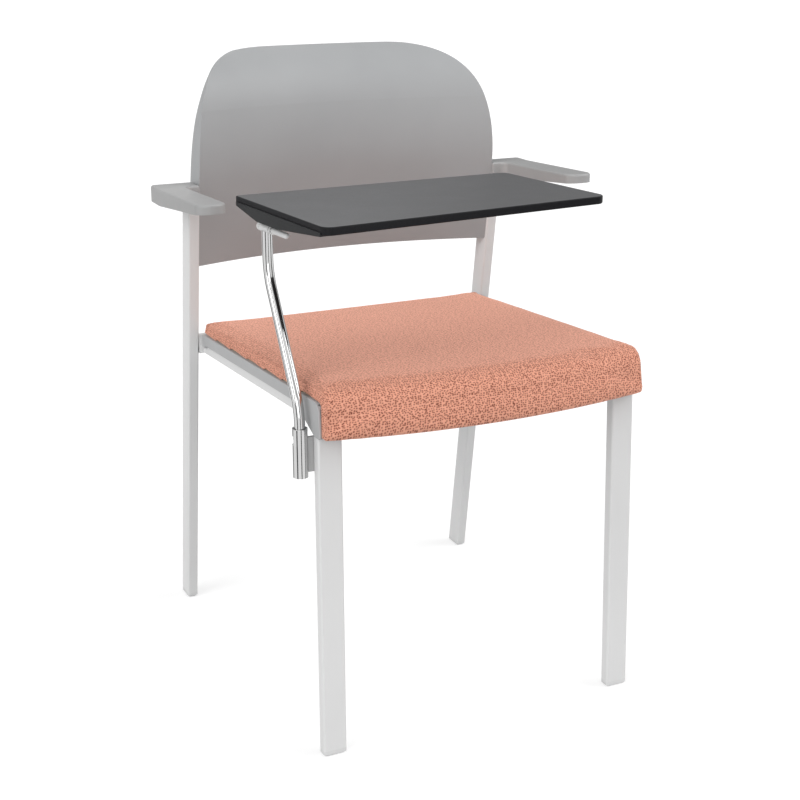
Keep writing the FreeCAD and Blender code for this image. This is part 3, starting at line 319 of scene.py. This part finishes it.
def make_cushion(fabric):
    solid = nodes["seat_cushion"]
    cushion = bpy.data.objects.new("cushion", solid.data.copy())
    bpy.context.scene.collection.objects.link(cushion)
    voxel = cushion.modifiers.new("voxel", "REMESH")
    voxel.mode = "VOXEL"
    voxel.voxel_size = VOXEL_SIZE
    apply_modifier(cushion, "voxel")
    wrap = cushion.modifiers.new("wrap", "SHRINKWRAP")
    wrap.target = solid
    apply_modifier(cushion, "wrap")
    swell(cushion)
    cushion.data.materials.clear()
    cushion.data.materials.append(fabric)
    for face in cushion.data.polygons:
        face.use_smooth = True
    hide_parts("seat_cushion")
    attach(cushion, "frame")


def swell(cushion):
    """Let the cover puff out a little under pressure, with its underside and the rear of its nose held."""
    start = [vertex.co.copy() for vertex in cushion.data.vertices]
    pins = cushion.vertex_groups.new(name="held")
    held = set()
    for vertex in cushion.data.vertices:
        underside = vertex.normal.z < LOOKS_DOWN
        behind_nose = vertex.normal.y > LOOKS_BACK and vertex.co.y < 0.0
        if underside or behind_nose:
            held.add(vertex.index)
            pins.add([vertex.index], 1.0, "REPLACE")
    cloth = cushion.modifiers.new("cloth", "CLOTH")
    cloth.settings.use_pressure = True
    cloth.settings.uniform_pressure_force = SWELL_PRESSURE
    cloth.settings.vertex_group_mass = "held"
    cloth.settings.effector_weights.gravity = 0.0
    scene = bpy.context.scene
    scene.frame_start = 1
    scene.frame_end = SWELL_FRAMES
    for number in range(1, SWELL_FRAMES + 1):
        scene.frame_set(number)
    apply_modifier(cushion, "cloth")
    scene.frame_set(1)
    for vertex in cushion.data.vertices:
        move = vertex.co - start[vertex.index]
        if vertex.index in held:
            move = Vector((0.0, 0.0, 0.0))
        elif move.length > SWELL_MOST:
            move = move.normalized() * SWELL_MOST
        vertex.co = start[vertex.index] + move
    smooth = cushion.modifiers.new("smooth", "SMOOTH")
    smooth.factor = 0.5
    smooth.iterations = 1
    apply_modifier(cushion, "smooth")


# Floor and light
def make_stage():
    """A pale floor that reads white to the camera and still keeps the chair's shadow."""
    mesh = bpy.data.meshes.new("floor")
    form = bmesh.new()
    bmesh.ops.create_grid(form, x_segments=1, y_segments=1, size=FLOOR_REACH)
    form.to_mesh(mesh)
    form.free()
    floor = bpy.data.objects.new("floor", mesh)
    bpy.context.scene.collection.objects.link(floor)
    floor.location.z = -FLOOR_DROP
    tree = Tree("floor_white")
    tree.nodes.remove(tree.shader)
    path = tree.add("ShaderNodeLightPath")
    mirrored = tree.math("MAXIMUM", path.outputs["Is Glossy Ray"], path.outputs["Is Transmission Ray"])
    seen = tree.math("MAXIMUM", path.outputs["Is Camera Ray"], mirrored)
    matt = tree.add("ShaderNodeBsdfDiffuse", Color=grey(FLOOR_TONE))
    glow = tree.add("ShaderNodeEmission", Color=grey(1.0), Strength=tree.math("MULTIPLY", seen, FLOOR_GLOW))
    both = tree.add("ShaderNodeAddShader")
    tree.links.new(matt.outputs[0], both.inputs[0])
    tree.links.new(glow.outputs[0], both.inputs[1])
    tree.links.new(both.outputs[0], tree.nodes["Material Output"].inputs["Surface"])
    mesh.materials.append(tree.material)


def make_cards():
    """Tall dark cards round the post, for dark streaks in its plating and a darker far end of the tablet."""
    post = Vector(frame["record"]["behaviour"]["joints"][0]["pos_m"])
    top = Vector((0.0, 0.0, CARD_HEIGHT))
    for name, bearing, distance, width, tone in CARDS:
        tree = Tree(name)
        tree.set(Base_Color=grey(tone), Roughness=1.0, Specular_IOR_Level=0.0)
        angle = math.radians(bearing)
        out = Vector((math.cos(angle), math.sin(angle), 0.0))
        across = Vector((-out.y, out.x, 0.0)) * (width / 2)
        foot = Vector((post.x, post.y, 0.0)) + out * distance
        corners = [foot - across, foot + across, foot + across + top, foot - across + top]
        mesh = bpy.data.meshes.new(name)
        mesh.from_pydata([tuple(corner) for corner in corners], [], [(0, 1, 2, 3)])
        mesh.materials.append(tree.material)
        card = bpy.data.objects.new(name, mesh)
        bpy.context.scene.collection.objects.link(card)
        card.visible_camera = False
        card.visible_diffuse = False
        card.visible_shadow = False
        card.visible_transmission = False


def make_light():
    """A world that is white where it is seen and a plain light elsewhere, and three soft suns."""
    world = bpy.data.worlds.new("studio")
    bpy.context.scene.world = world
    world.use_nodes = True
    tree = world.node_tree
    back = tree.nodes["Background"]
    path = tree.nodes.new("ShaderNodeLightPath")
    mirrored = tree.nodes.new("ShaderNodeMath")
    mirrored.operation = "MAXIMUM"
    tree.links.new(path.outputs["Is Glossy Ray"], mirrored.inputs[0])
    tree.links.new(path.outputs["Is Transmission Ray"], mirrored.inputs[1])
    seen = tree.nodes.new("ShaderNodeMath")
    seen.operation = "MAXIMUM"
    tree.links.new(path.outputs["Is Camera Ray"], seen.inputs[0])
    tree.links.new(mirrored.outputs[0], seen.inputs[1])
    level = tree.nodes.new("ShaderNodeMapRange")
    level.inputs["To Min"].default_value = WORLD_LIGHT
    level.inputs["To Max"].default_value = WORLD_SEEN
    tree.links.new(seen.outputs[0], level.inputs["Value"])
    tree.links.new(level.outputs["Result"], back.inputs["Strength"])
    back.inputs["Color"].default_value = grey(1.0)
    for name, strength, direction in SUNS:
        data = bpy.data.lights.new(name, "SUN")
        data.energy = strength
        data.angle = math.radians(SUN_SOFTNESS)
        sun = bpy.data.objects.new(name, data)
        bpy.context.scene.collection.objects.link(sun)
        sun.rotation_euler = Vector(direction).to_track_quat("-Z", "Y").to_euler()


make_camera()
finishes = paint_nodes()
make_cushion(finishes["seat_fabric"])
make_stage()
make_cards()
make_light()
bpy.context.scene.view_settings.view_transform = "Standard"
